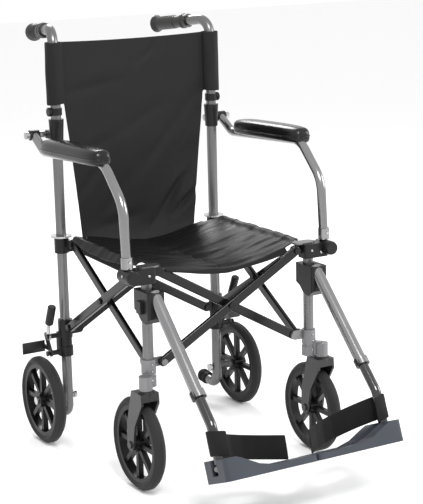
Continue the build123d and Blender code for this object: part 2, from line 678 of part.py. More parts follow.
def footplate():
    """Moulded plate with a raised shoulder round the tube's eye and a grooved tread, and its pin."""
    plane = plate_plane()
    inner, outer = plate_inner_gap - hanger_x, plate_outer_x - hanger_x
    shoulder = [(outer, 0), (outer, plate_shoulder), (-14, plate_shoulder), (-26, plate_shoulder - 5)]
    ramp = [(-62, plate_thickness + 9), (-95, plate_thickness + 1), (inner, plate_thickness), (inner, 0)]
    section = make_face(Polyline(*shoulder, *ramp, close=True))
    plate = Pos(0, 0, -plate_depth / 2) * extrude(section, plate_depth)
    outline = RectangleRounded(outer - inner, plate_depth, plate_corner_r)
    rounded = Pos((inner + outer) / 2, 0, 0) * (Rot(-90, 0, 0) * extrude(outline, plate_shoulder, both=True))
    plate = plane * (plate & rounded)
    slot_half = foot_eye_half + clear_gap
    slot_floor, slot_roof = plate_thickness + 1.2, plate_shoulder + 1
    slot = make_face(Polyline((inner, slot_floor), (outer + 1, slot_floor), (outer + 1, slot_roof),
                              (inner, slot_roof), close=True))
    plate -= plane.offset(-slot_half) * extrude(slot, 2 * slot_half)
    pin = Pos(0, plate_pin_height, 0) * Cylinder(bar_pin_r, 2 * slot_half + 20)
    pin = plane * pin
    plate -= pin
    for x in (-150, -125, -100, -75, -50):
        plate -= plane * (Pos(x, plate_thickness, 0) * Box(3, 2.4, plate_depth - 2 * plate_corner_r))
    return [plate.solids().sort_by(SortBy.VOLUME)[-1], pin]


def heel_strap():
    """Webbing from the footrest tube down to the inner end of the plate, bowed to the rear."""
    plane = plate_plane()
    low = plate_shoulder + 7
    outer = foot_tube_r + 3.5
    length = hanger_x - strap_inner_end + outer
    slope = math.degrees(math.asin((low - plate_thickness - 1) / length))
    # drawn from its outer end, with y as the distance to the rear, then turned down towards the middle
    middle = ThreePointArc((0, foot_tube_r + 2), (-length / 2, strap_bow), (-length, foot_tube_r + 17))
    face = trace(middle, strap_thickness)
    strap_plane = Plane(origin=plane.origin + plane.y_dir * low + plane.x_dir * outer,
                        x_dir=plane.x_dir, z_dir=-plane.y_dir)
    return [strap_plane * (Rot(0, slope, 0) * extrude(face, -strap_height))]


# --- brakes -------------------------------------------------------------------------------------------------
def brake_lever():
    """Lever plate with its stem, and the grip pushed on it."""
    x0 = brake_link_x + brake_plate + clear_gap
    pivot = (rear_y, brake_upper_height)
    side = Plane(origin=(x0, 0, 0), x_dir=(0, 1, 0), z_dir=(1, 0, 0))
    shape = Pos(*pivot) * Circle(9) + Pos(pivot[0], pivot[1] + 12) * Rectangle(12, 24)
    plate = side * extrude(shape, brake_plate)
    plate -= cyl(brake_rod_r + running_gap, (x0 - 20, *pivot), (x0 + 20, *pivot))
    foot = Vector(x0 + brake_plate / 2, pivot[0], pivot[1] + 20)
    lean = Vector(0, -22, 47).normalized()
    stem = cyl(3, foot - lean * 2, foot + lean * 12)
    plate += stem
    grip = cyl(brake_grip_r, foot + lean * 12, foot + lean * (12 + brake_grip_length))
    grip = fillet(grip.edges(), 3)
    return [plate, grip]


def brake_shoe():
    """Link plate and the flat shoe that it presses on the tyre."""
    x0 = brake_link_x
    pivot = (rear_y, brake_lower_height)
    side = Plane(origin=(x0, 0, 0), x_dir=(0, 1, 0), z_dir=(1, 0, 0))
    top = (pivot[0] + 24, pivot[1] + 38)
    shoe_y = pivot[0] + 37
    arm = make_hull([*(Pos(*pivot) * Circle(8)).edges(), *(Pos(*top) * Circle(6)).edges()])
    spur = block((x0, x0 + brake_plate), (pivot[0] + 8, shoe_y + 1), (pivot[1] + 4, pivot[1] + 14))
    link = side * extrude(arm, brake_plate) + spur
    link -= cyl(brake_rod_r + running_gap, (x0 - 20, *pivot), (x0 + 20, *pivot))
    shoe_bottom = brake_lower_height - 4
    shoe = block((x0, x0 + brake_shoe_width), (shoe_y, shoe_y + 3),
                 (shoe_bottom, shoe_bottom + brake_shoe_height))
    return [link + shoe]


# --- soft goods ---------------------------------------------------------------------------------------------
def seat_half():
    """Half of the sling, from the side edge down to the middle, where the two halves meet."""
    outer, inner = seat_half_width, seat_centre_gap / 2
    low = seat_height - seat_sag
    section = make_face(Polyline((outer, seat_height), (inner, low), (inner, low - seat_cloth),
                                 (outer, seat_height - seat_cloth), close=True))
    plane = Plane(origin=(0, seat_front_y, 0), x_dir=(1, 0, 0), z_dir=(0, -1, 0))
    cloth = plane * extrude(section, -(seat_rear_y - seat_front_y))
    for y in (front_y, rear_y):
        cloth -= block((half_x - 48, half_x), (y - 26, y + 26), (seat_height - 30, seat_height + 10))
    return [cloth]


def back_panel():
    """Back cloth between the posts, with a pocket round each post and a narrower skirt down to the seat."""
    half_top = half_x - 17
    outline = [(-back_bottom_half_width, back_bottom), (back_bottom_half_width, back_bottom),
               (half_top, back_pocket_bottom), (half_top, back_top),
               (-half_top, back_top), (-half_top, back_pocket_bottom)]
    plane = Plane(origin=(0, rear_y + back_cloth / 2, 0), x_dir=(1, 0, 0), z_dir=(0, -1, 0))
    panel = plane * extrude(make_face(Polyline(*outline, close=True)), back_cloth)
    pocket_r = rear_post_r + 3.0
    for way in (-1, 1):
        x = way * half_x
        pocket = ring(pocket_r, rear_post_r + 0.3, (x, rear_y, back_pocket_bottom), (x, rear_y, back_top - 8))
        bridge = block((x - way * (pocket_r - 1), x - way * 18),
                       (rear_y - back_cloth / 2, rear_y + back_cloth / 2), (back_pocket_bottom, back_top - 8))
        panel += pocket + bridge
    return [panel]


# --- assembly -----------------------------------------------------------------------------------------------
def mirrored(solids):
    """The same solids on the other side of the middle plane."""
    return [mirror(s, about=Plane.YZ) for s in solids]


def write(name, shapes):
    """Writes one node, moved so that the part's origin is where the header says."""
    placed = []
    for shape in shapes:
        placed += [Pos(0, -origin_y, 0) * s for s in shape.solids()]
    export_step(Compound(children=placed, label=name), f"parts/{name}.step")


def pair(name, left, right=None):
    """Writes a left piece and its mirror image; right is the piece to mirror where the two differ."""
    write(name + "_left", left)
    write(name + "_right", mirrored(right or left))


def main():
    os.makedirs("parts", exist_ok=True)
    pair("rear_post", rear_post())
    pair("push_grip", push_grip())
    pair("tip_cap", tip_cap())
    pair("post_collars", post_collars(inner_layer), post_collars(outer_layer))
    pair("lock_knob", lock_knob())
    pair("seat_collar", seat_collar(outer_layer), seat_collar(inner_layer))
    pair("front_post", front_post())
    pair("caster_housing", caster_housing(inner_layer), caster_housing(outer_layer))
    pair("caster_fork", caster_fork())
    pair("caster_tyre", tyre(caster_x, caster_axle_y))
    pair("caster_rim", rim(caster_x, caster_axle_y))
    pair("rear_tyre", tyre(rear_wheel_x, rear_axle_y))
    pair("rear_rim", rim(rear_wheel_x, rear_axle_y))
    pair("front_bracket", front_bracket(outer_layer), front_bracket(inner_layer))
    write("front_bar_inner", crossed_bar("front", -1, inner_layer))
    write("front_bar_outer", crossed_bar("front", 1, outer_layer, ("low",)))
    write("rear_bar_outer", crossed_bar("rear", -1, outer_layer))
    write("rear_bar_inner", crossed_bar("rear", 1, inner_layer, ("high",)))
    write("side_bar_outer_right", crossed_bar("right", 1, outer_layer))
    write("side_bar_inner_right", crossed_bar("right", -1, inner_layer))
    write("side_bar_outer_left", crossed_bar("left", -1, outer_layer, ("high",)))
    write("side_bar_inner_left", crossed_bar("left", 1, inner_layer, ("low", "high")))
    pair("arm_rod", arm_rod())
    pair("arm_tube", arm_tube())
    pair("arm_pad", arm_pad())
    pair("footrest_block", footrest_block())
    pair("hanger_tube", hanger_tube())
    pair("footrest_tube", footrest_tube())
    pair("footplate", footplate())
    pair("heel_strap", heel_strap())
    pair("brake_lever", brake_lever())
    pair("brake_shoe", brake_shoe())
    pair("seat_half", seat_half())
    write("back_panel", back_panel())


if __name__ == "__main__":
    main()
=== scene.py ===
import json
import math

import bmesh
import bpy
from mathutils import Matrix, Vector, noise


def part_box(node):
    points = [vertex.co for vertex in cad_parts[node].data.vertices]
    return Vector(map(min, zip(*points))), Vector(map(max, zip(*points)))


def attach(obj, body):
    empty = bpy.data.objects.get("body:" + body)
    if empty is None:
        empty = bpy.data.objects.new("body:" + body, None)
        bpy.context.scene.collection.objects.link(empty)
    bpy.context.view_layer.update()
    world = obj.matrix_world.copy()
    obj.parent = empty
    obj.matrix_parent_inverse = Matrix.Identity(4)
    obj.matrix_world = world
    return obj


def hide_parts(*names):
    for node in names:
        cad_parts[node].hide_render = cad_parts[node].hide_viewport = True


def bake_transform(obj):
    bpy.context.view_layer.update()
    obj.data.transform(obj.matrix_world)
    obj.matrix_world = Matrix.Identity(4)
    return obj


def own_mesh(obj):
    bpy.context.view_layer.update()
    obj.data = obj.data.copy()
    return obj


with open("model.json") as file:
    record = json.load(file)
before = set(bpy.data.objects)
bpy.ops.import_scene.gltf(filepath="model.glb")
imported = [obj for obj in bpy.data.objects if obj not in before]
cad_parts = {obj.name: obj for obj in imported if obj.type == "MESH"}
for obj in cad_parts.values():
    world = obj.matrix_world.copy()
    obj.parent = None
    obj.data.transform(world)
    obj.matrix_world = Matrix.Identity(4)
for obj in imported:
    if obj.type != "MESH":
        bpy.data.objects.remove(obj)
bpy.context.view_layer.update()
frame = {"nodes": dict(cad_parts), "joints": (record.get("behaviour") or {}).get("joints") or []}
nodes = frame["nodes"]
joints = {joint["name"]: joint for joint in frame["joints"]}
sides = {"left": 1, "right": -1}


# --- upright posts ---
# Rear posts bent in one piece with the push handles and tip levers, and shorter front posts.
# 23 mm aluminium tube under a silver-grey powder coat, with plated axle bolts through the rear ones.
def finish(name, colour, roughness, metallic=0.0, mottle=0.08, mottle_scale=14.0, grain=900.0, relief=0.00002,
           coat=0.0, sheen=0.0, specular=0.5):
    """A finish with cloudy colour, uneven gloss and a fine grain, all on Object coordinates."""
    material = bpy.data.materials.new(name)
    material.use_nodes = True
    tree = material.node_tree
    shader = tree.nodes["Principled BSDF"]
    shader.inputs["Metallic"].default_value = metallic
    shader.inputs["Specular IOR Level"].default_value = specular
    shader.inputs["Coat Weight"].default_value = coat
    shader.inputs["Coat Roughness"].default_value = 0.15
    shader.inputs["Sheen Weight"].default_value = sheen
    shader.inputs["Sheen Roughness"].default_value = 0.5
    place = tree.nodes.new("ShaderNodeTexCoord")
    cloud = tree.nodes.new("ShaderNodeTexNoise")
    cloud.inputs["Scale"].default_value = mottle_scale
    cloud.inputs["Detail"].default_value = 4.0
    tree.links.new(place.outputs["Object"], cloud.inputs["Vector"])
    tint = tree.nodes.new("ShaderNodeMix")
    tint.name = "tint"
    tint.data_type = "RGBA"
    tint.inputs["A"].default_value = [*(c * (1 - mottle) for c in colour), 1]
    tint.inputs["B"].default_value = [*(min(1, c * (1 + mottle)) for c in colour), 1]
    tree.links.new(cloud.outputs["Fac"], tint.inputs["Factor"])
    tree.links.new(tint.outputs["Result"], shader.inputs["Base Color"])
    gloss = tree.nodes.new("ShaderNodeMapRange")
    gloss.inputs["From Min"].default_value = 0.3
    gloss.inputs["From Max"].default_value = 0.7
    gloss.inputs["To Min"].default_value = roughness * 0.85
    gloss.inputs["To Max"].default_value = min(1.0, roughness * 1.15)
    tree.links.new(cloud.outputs["Fac"], gloss.inputs["Value"])
    tree.links.new(gloss.outputs["Result"], shader.inputs["Roughness"])
    fine = tree.nodes.new("ShaderNodeTexNoise")
    fine.inputs["Scale"].default_value = grain
    tree.links.new(place.outputs["Object"], fine.inputs["Vector"])
    bump = tree.nodes.new("ShaderNodeBump")
    bump.name = "grain"
    bump.inputs["Distance"].default_value = relief
    bump.inputs["Strength"].default_value = 1.0
    tree.links.new(fine.outputs["Fac"], bump.inputs["Height"])
    tree.links.new(bump.outputs["Normal"], shader.inputs["Normal"])
    return material


def separate_solids(mesh):
    """Lists of face numbers, one list for each closed solid, the biggest solid first."""
    owner = {}
    parent = list(range(len(mesh.polygons)))

    def root(i):
        while parent[i] != i:
            parent[i] = parent[parent[i]]
            i = parent[i]
        return i

    for face in mesh.polygons:
        for v in face.vertices:
            key = tuple(round(c * 1e5) for c in mesh.vertices[v].co)
            if key in owner:
                parent[root(face.index)] = root(owner[key])
            else:
                owner[key] = face.index
    groups = {}
    for i in range(len(parent)):
        groups.setdefault(root(i), []).append(i)

    def extent(faces):
        points = [mesh.vertices[v].co for i in faces for v in mesh.polygons[i].vertices]
        return math.prod(max(p[k] for p in points) - min(p[k] for p in points) for k in range(3))

    return sorted(groups.values(), key=extent, reverse=True)


def paint(node, *materials):
    """Gives a node's solids these finishes, the biggest solid first; the last finish serves all that remain."""
    mesh = nodes[node].data
    mesh.materials.clear()
    for material in materials:
        mesh.materials.append(material)
    if len(materials) > 1:
        for rank, faces in enumerate(separate_solids(mesh)):
            for i in faces:
                mesh.polygons[i].material_index = min(rank, len(materials) - 1)


def paint_where(node, material, inside):
    """Gives this finish to the faces of a node whose middle passes the test inside."""
    mesh = nodes[node].data
    mesh.materials.append(material)
    for face in mesh.polygons:
        if inside(face.center):
            face.material_index = len(mesh.materials) - 1


powder_coat = finish("silver_grey_coat", (0.165, 0.163, 0.166), 0.30, metallic=0.80, mottle=0.06, grain=1500.0)
bright_coat = finish("bright_grey_coat", (0.27, 0.27, 0.275), 0.20, metallic=0.95, mottle=0.05, grain=1500.0)
zinc = finish("bright_zinc", (0.45, 0.45, 0.45), 0.24, metallic=1.0, mottle=0.15, mottle_scale=60.0)
for side in sides:
    paint(f"rear_post_{side}", powder_coat, zinc)
    paint(f"front_post_{side}", powder_coat)

# --- push grips ---
# Ribbed vinyl sleeves pushed over the ends of the handles, with a flared rim at the open end.
# Moulded in black; the rings are part of the moulding.
grip_vinyl = finish("black_vinyl_grip", (0.020, 0.020, 0.019), 0.40, mottle=0.2, grain=1200.0, specular=0.4)


def geometry_tree(name, inputs):
    """An empty Geometry Nodes tree with named inputs and one Geometry output."""
    tree = bpy.data.node_groups.new(name, "GeometryNodeTree")
    tree.interface.new_socket("Geometry", in_out="OUTPUT", socket_type="NodeSocketGeometry")
    for label, kind in inputs.items():
        tree.interface.new_socket(label, in_out="INPUT", socket_type="NodeSocket" + kind)
    return tree, tree.nodes.new("NodeGroupInput"), tree.nodes.new("NodeGroupOutput")


def close_tree(tree, source, given, result):
    """Ends a tree in Realize Instances and Set Material."""
    real = tree.nodes.new("GeometryNodeRealizeInstances")
    coat = tree.nodes.new("GeometryNodeSetMaterial")
    tree.links.new(source, real.inputs[0])
    tree.links.new(real.outputs[0], coat.inputs["Geometry"])
    tree.links.new(given.outputs["Material"], coat.inputs["Material"])
    tree.links.new(coat.outputs[0], result.inputs["Geometry"])


def grow(name, tree, mesh=None, **inputs):
    """A plain mesh object made by a Geometry Nodes tree from these inputs."""
    obj = bpy.data.objects.new(name, mesh or bpy.data.meshes.new(name))
    bpy.context.scene.collection.objects.link(obj)
    modifier = obj.modifiers.new("shape", "NODES")
    modifier.node_group = tree
    for item in tree.interface.items_tree:
        if item.in_out == "INPUT" and item.name in inputs:
            modifier[item.identifier] = inputs[item.name]
    evaluated = obj.evaluated_get(bpy.context.evaluated_depsgraph_get())
    result = bpy.data.meshes.new_from_object(evaluated)
    obj.modifiers.clear()
    obj.data = result
    for face in result.polygons:
        face.use_smooth = True
    return obj


ring_tree, given, result = geometry_tree("ring_row", {
    "Count": "Int", "Start": "Vector", "Step": "Vector", "Turn": "Vector", "Radius": "Float", "Wire": "Float",
    "Material": "Material"})
line = ring_tree.nodes.new("GeometryNodeMeshLine")
loop = ring_tree.nodes.new("GeometryNodeCurvePrimitiveCircle")
wire = ring_tree.nodes.new("GeometryNodeCurvePrimitiveCircle")
loop.inputs["Resolution"].default_value = 32
wire.inputs["Resolution"].default_value = 6
sweep = ring_tree.nodes.new("GeometryNodeCurveToMesh")
copies = ring_tree.nodes.new("GeometryNodeInstanceOnPoints")
turn = ring_tree.nodes.new("FunctionNodeEulerToRotation")
ring_tree.links.new(given.outputs["Count"], line.inputs["Count"])
ring_tree.links.new(given.outputs["Start"], line.inputs["Start Location"])
ring_tree.links.new(given.outputs["Step"], line.inputs["Offset"])
ring_tree.links.new(given.outputs["Radius"], loop.inputs["Radius"])
ring_tree.links.new(given.outputs["Wire"], wire.inputs["Radius"])
ring_tree.links.new(loop.outputs["Curve"], sweep.inputs["Curve"])
ring_tree.links.new(wire.outputs["Curve"], sweep.inputs["Profile Curve"])
ring_tree.links.new(line.outputs["Mesh"], copies.inputs["Points"])
ring_tree.links.new(sweep.outputs["Mesh"], copies.inputs["Instance"])
ring_tree.links.new(given.outputs["Turn"], turn.inputs["Euler"])
ring_tree.links.new(turn.outputs["Rotation"], copies.inputs["Rotation"])
close_tree(ring_tree, copies.outputs["Instances"], given, result)

handle_toe_in, handle_reach, handle_drop = 0.038, 0.179, 0.020
handle_end_height = 0.920
grip_radius, grip_rib_pitch, grip_rib_start = 0.0155, 0.0032, 0.064
post_axis_x = sum(corner.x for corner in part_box("front_post_left")) / 2
for side, way in sides.items():
    paint(f"push_grip_{side}", grip_vinyl)
    along = Vector((-way * handle_toe_in, handle_reach, -handle_drop)).normalized()
    end = Vector((way * (post_axis_x - handle_toe_in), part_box(f"rear_post_{side}")[1].y, handle_end_height))
    ribs = grow(f"grip_ribs_{side}", ring_tree, Count=18, Start=end - along * grip_rib_start,
                Step=along * grip_rib_pitch,
                Turn=Vector((0, 0, 1)).rotation_difference(along).to_euler(), Radius=grip_radius, Wire=0.0007,
                Material=grip_vinyl)
    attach(ribs, f"rear_frame_{side}")

# --- tip caps ---
# Rubber caps on the tip levers, with five moulded ribs for the foot.
rubber = finish("ribbed_rubber", (0.010, 0.010, 0.010), 0.50, mottle=0.25, specular=0.3)
cap_radius, cap_rib_pitch = 0.0150, 0.005
for side, way in sides.items():
    paint(f"tip_cap_{side}", rubber)
    low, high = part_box(f"tip_cap_{side}")
    lever = Vector((0, 0.068, 0.008)).normalized()
    middle = (low + high) / 2
    ribs = grow(f"tip_ribs_{side}", ring_tree, Count=5, Start=middle - lever * 2 * cap_rib_pitch,
                Step=lever * cap_rib_pitch,
                Turn=Vector((0, 0, 1)).rotation_difference(lever).to_euler(), Radius=cap_radius, Wire=0.0009,
                Material=rubber)
    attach(ribs, f"rear_frame_{side}")

# --- collars, castings and brackets ---
# Black nylon collars on the posts, grey castings at the feet of the front posts and black brackets above.
# Each is held by plated rivets and pan-head screws.
nylon = finish("black_nylon_moulding", (0.010, 0.010, 0.0105), 0.32, mottle=0.15, grain=1400.0, relief=0.00004,
               specular=0.22)
casting_grey = finish("grey_casting", (0.20, 0.20, 0.205), 0.40, metallic=0.5, mottle=0.1, grain=700.0,
                      relief=0.00008)
flange_thickness = 0.0045
for side in sides:
    paint(f"post_collars_{side}", nylon)
    paint(f"seat_collar_{side}", nylon, nylon, zinc)
    paint(f"caster_housing_{side}", casting_grey, zinc)
    paint(f"front_bracket_{side}", nylon, powder_coat, nylon, zinc)
    paint(f"lock_knob_{side}", nylon)
    flange_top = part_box(f"seat_collar_{side}")[1].z
    paint_where(f"seat_collar_{side}", zinc, lambda p, top=flange_top: p.z > top - flange_thickness)

screw_tree, given, result = geometry_tree("screw_heads", {
    "Geometry": "Geometry", "Radius": "Float", "Height": "Float", "Material": "Material"})
head = screw_tree.nodes.new("GeometryNodeMeshCone")
head.inputs["Vertices"].default_value = 20
waist = screw_tree.nodes.new("ShaderNodeMath")
waist.operation = "MULTIPLY"
waist.inputs[1].default_value = 0.62
facing = screw_tree.nodes.new("GeometryNodeInputNamedAttribute")
facing.data_type = "FLOAT_VECTOR"
facing.inputs["Name"].default_value = "facing"
aim = screw_tree.nodes.new("FunctionNodeAlignRotationToVector")
copies = screw_tree.nodes.new("GeometryNodeInstanceOnPoints")
screw_tree.links.new(given.outputs["Radius"], head.inputs["Radius Bottom"])
screw_tree.links.new(given.outputs["Radius"], waist.inputs[0])
screw_tree.links.new(waist.outputs[0], head.inputs["Radius Top"])
screw_tree.links.new(given.outputs["Height"], head.inputs["Depth"])
screw_tree.links.new(facing.outputs["Attribute"], aim.inputs["Vector"])
screw_tree.links.new(given.outputs["Geometry"], copies.inputs["Points"])
screw_tree.links.new(head.outputs["Mesh"], copies.inputs["Instance"])
screw_tree.links.new(aim.outputs["Rotation"], copies.inputs["Rotation"])
close_tree(screw_tree, copies.outputs["Instances"], given, result)


def landing(node, start, direction):
    """Where a straight line from start first meets a node, and the surface's outward direction there."""
    hit, point, normal, _ = nodes[node].ray_cast(Vector(start), Vector(direction))
    return (point, normal) if hit else None


def screws(name, node, body, lines, radius=0.0032, height=0.0016, material=None):
    """Screw heads where straight lines, each a start and a direction, meet a node."""
    places = [place for place in (landing(node, *line) for line in lines) if place]
    mesh = bpy.data.meshes.new(name)
    mesh.from_pydata([point for point, _ in places], [], [])
    facings = mesh.attributes.new("facing", "FLOAT_VECTOR", "POINT")
    for i, (_, normal) in enumerate(places):
        facings.data[i].vector = normal
    heads = grow(name, screw_tree, mesh, Radius=radius, Height=height, Material=material or zinc)
    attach(heads, body)


bpy.context.view_layer.update()
front_y = sum(corner.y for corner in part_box("front_post_left")) / 2
for side, way in sides.items():
    post_x = way * post_axis_x
    bracket_low, bracket_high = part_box(f"front_bracket_{side}")
    forward, outward = (0, 1, 0), (-way, 0, 0)
    screws(f"bracket_screws_{side}", f"front_bracket_{side}", f"bracket_{side}",
           [((post_x, front_y - 0.1, bracket_high.z - 0.018), forward),
            ((post_x + way * 0.024, front_y - 0.1, bracket_high.z - 0.024), forward),
            ((post_x + way * 0.1, front_y - 0.006, bracket_high.z - 0.012), outward)], radius=0.0036)
    casting_low, casting_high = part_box(f"caster_housing_{side}")
    screws(f"casting_screws_{side}", f"caster_housing_{side}", f"front_frame_{side}",
           [((post_x, front_y - 0.1, casting_high.z - height), forward) for height in (0.010, 0.024, 0.044)],
           radius=0.0026, material=zinc)

# --- crossed bars ---
# Eight flat-oval aluminium bars in black satin powder coat, crossing in pairs on plated pins.
bar_coat = finish("black_satin_bar", (0.005, 0.005, 0.0053), 0.18, mottle=0.1, grain=1500.0, specular=0.3)
for node in nodes:
    if "_bar_" in node:
        paint(node, bar_coat, bar_coat if "outer" in node else nylon)

# --- wheels ---
# Solid 200 mm tyres on black moulded rims; the casters turn in moulded forks.
tyre_rubber = finish("grey_black_tyre", (0.020, 0.020, 0.021), 0.60, mottle=0.18, mottle_scale=30.0, grain=500.0,
                     relief=0.0001, specular=0.2)
rim_black = finish("black_rim", (0.005, 0.005, 0.0053), 0.34, mottle=0.1, grain=1400.0, specular=0.22)
fork_black = finish("dark_fork", (0.016, 0.016, 0.017), 0.34, mottle=0.12, grain=1300.0, relief=0.00003)
for side, way in sides.items():
    for wheel in ("caster", "rear"):
        paint(f"{wheel}_tyre_{side}", tyre_rubber)
        paint(f"{wheel}_rim_{side}", rim_black)
    paint(f"caster_fork_{side}", fork_black, zinc)

# --- brakes ---
# A plated lever with a black moulded grip, and the black steel shoe that it presses on the tyre.
shoe_black = finish("black_shoe", (0.02, 0.02, 0.021), 0.35, metallic=0.3)
for side in sides:
    paint(f"brake_lever_{side}", nylon, zinc)
    paint(f"brake_shoe_{side}", shoe_black)

# --- footrests ---
# A nylon clamp on each front post, a bright hanger tube with a black sleeve, and a dark chrome lower tube.
# The plates are blue-grey mouldings, with black webbing heel straps.
black_gloss = finish("gloss_black_tube", (0.008, 0.008, 0.0085), 0.12, mottle=0.1, coat=0.6, specular=0.6)
plate_plastic = finish("blue_grey_plate", (0.036, 0.041, 0.052), 0.46, mottle=0.14, grain=600.0, relief=0.00008,
                       specular=0.35)
hanger_sleeve_length = 0.022
for side in sides:
    paint(f"footrest_block_{side}", nylon)
    paint(f"hanger_tube_{side}", bright_coat)
    sleeve_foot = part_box(f"hanger_tube_{side}")[0].z
    paint_where(f"hanger_tube_{side}", nylon, lambda p, foot=sleeve_foot: p.z < foot + hanger_sleeve_length)
    paint(f"footrest_tube_{side}", black_gloss)
    paint(f"footplate_{side}", plate_plastic, zinc)

webbing = finish("black_webbing", (0.010, 0.010, 0.0105), 0.85, mottle=0.2, grain=1800.0, relief=0.00015, sheen=0.1,
                 specular=0.15)


def sheet_mesh(name, across, along, point, material, thickness, levels=1, closed=False):
    """A cloth from a grid of points; point(u, v) gives the place for u and v from 0 to 1."""
    mesh = bpy.data.meshes.new(name)
    bm = bmesh.new()
    rows = [[bm.verts.new(point(i / across, j / along)) for i in range(across + (0 if closed else 1))]
            for j in range(along + 1)]
    for lower, upper in zip(rows, rows[1:]):
        count = len(lower)
        for i in range(count if closed else count - 1):
            k = (i + 1) % count
            bm.faces.new((lower[i], lower[k], upper[k], upper[i]))
    bmesh.ops.recalc_face_normals(bm, faces=bm.faces)
    flat_area = sum(face.calc_area() for face in bm.faces)
    bm.to_mesh(mesh)
    bm.free()
    mesh.materials.append(material)
    obj = bpy.data.objects.new(name, mesh)
    bpy.context.scene.collection.objects.link(obj)
    wall = obj.modifiers.new("wall", "SOLIDIFY")
    wall.thickness = thickness
    wall.offset = 0.0
    smooth = obj.modifiers.new("smooth", "SUBSURF")
    smooth.levels = smooth.render_levels = levels
    evaluated = obj.evaluated_get(bpy.context.evaluated_depsgraph_get())
    obj_mesh = bpy.data.meshes.new_from_object(evaluated)
    obj.modifiers.clear()
    obj.data = obj_mesh
    for face in obj_mesh.polygons:
        face.use_smooth = True
    return obj, flat_area


strap_height, strap_wall, strap_lift = 0.050, 0.0022, 0.026
for side, way in sides.items():
    flip = joints[f"footplate_flip_{side}"]
    pin = Vector(flip["pos_m"])
    back = Vector(flip["axis"]) * way
    up = back.cross(Vector((1, 0, 0))) * -1
    if up.z < 0:
        up = -up
    strap_low, strap_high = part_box(f"heel_strap_{side}")
    reach = strap_high.x - strap_low.x - 0.0005
    # from in front of the tube, round its outer side, then bowed back to the inner end of the plate
    round_tube = [(-0.020, -0.0135), (-0.006, -0.0150), (0.0085, -0.0120), (0.0150, 0.0), (0.0100, 0.0120)]
    bowed = [(0.0100 - (reach + 0.010) * t, 0.0125 + 0.040 * math.sin(math.pi * t) + 0.012 * t)
             for t in (0.12, 0.25, 0.4, 0.55, 0.7, 0.85, 1.0)]
    route = [Vector(p) for p in round_tube + bowed]
    lengths = [0.0]
    for a, b in zip(route, route[1:]):
        lengths.append(lengths[-1] + (b - a).length)

    def strap_point(u, v, way=way, pin=pin, back=back, up=up, route=route, lengths=lengths, reach=reach):
        """u runs along the strap from the front of the tube, v from its lower edge to its upper edge."""
        distance = u * lengths[-1]
        i = max(k for k in range(len(route) - 1) if lengths[k] <= distance + 1e-9)
        share = (distance - lengths[i]) / (lengths[i + 1] - lengths[i])
        plan = route[i].lerp(route[i + 1], share)
        drop = 0.040 * min(1.0, max(0.0, 0.014 - plan.x) / (reach + 0.014)) ** 1.1
        height = strap_lift - drop + strap_height * v
        ripple = 0.0012 * noise.noise(Vector((u * 9, v * 2.0, way * 3)))
        lean_in = 0.006 * v * min(1.0, max(0.0, -plan.x) / 0.05)
        return pin + Vector((way * plan.x, 0, 0)) + back * (plan.y + ripple - lean_in) + up * height

    strap, area = sheet_mesh(f"webbing_strap_{side}", 60, 8, strap_point, webbing, strap_wall)
    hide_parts(f"heel_strap_{side}")
    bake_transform(strap)

# --- arms ---
# A steel hinge rod, a bent bright tube that drops into the front bracket's socket, and a vinyl pad.
for side in sides:
    paint(f"arm_rod_{side}", zinc)
    paint(f"arm_tube_{side}", bright_coat, nylon, zinc)

pad_vinyl = finish("black_vinyl_pad", (0.005, 0.005, 0.0052), 0.26, mottle=0.15, grain=420.0, relief=0.00022,
                   specular=0.35)
pad_middle, pad_high_edge, pad_width = 0.012, 0.035, 0.056
pad_end_power = 4.2               # how square the pad's ends are


def superellipse(share, power):
    """Height of a rounded profile at share, from -1 to 1, across it."""
    return max(0.0, 1 - abs(share) ** power) ** (1 / power)


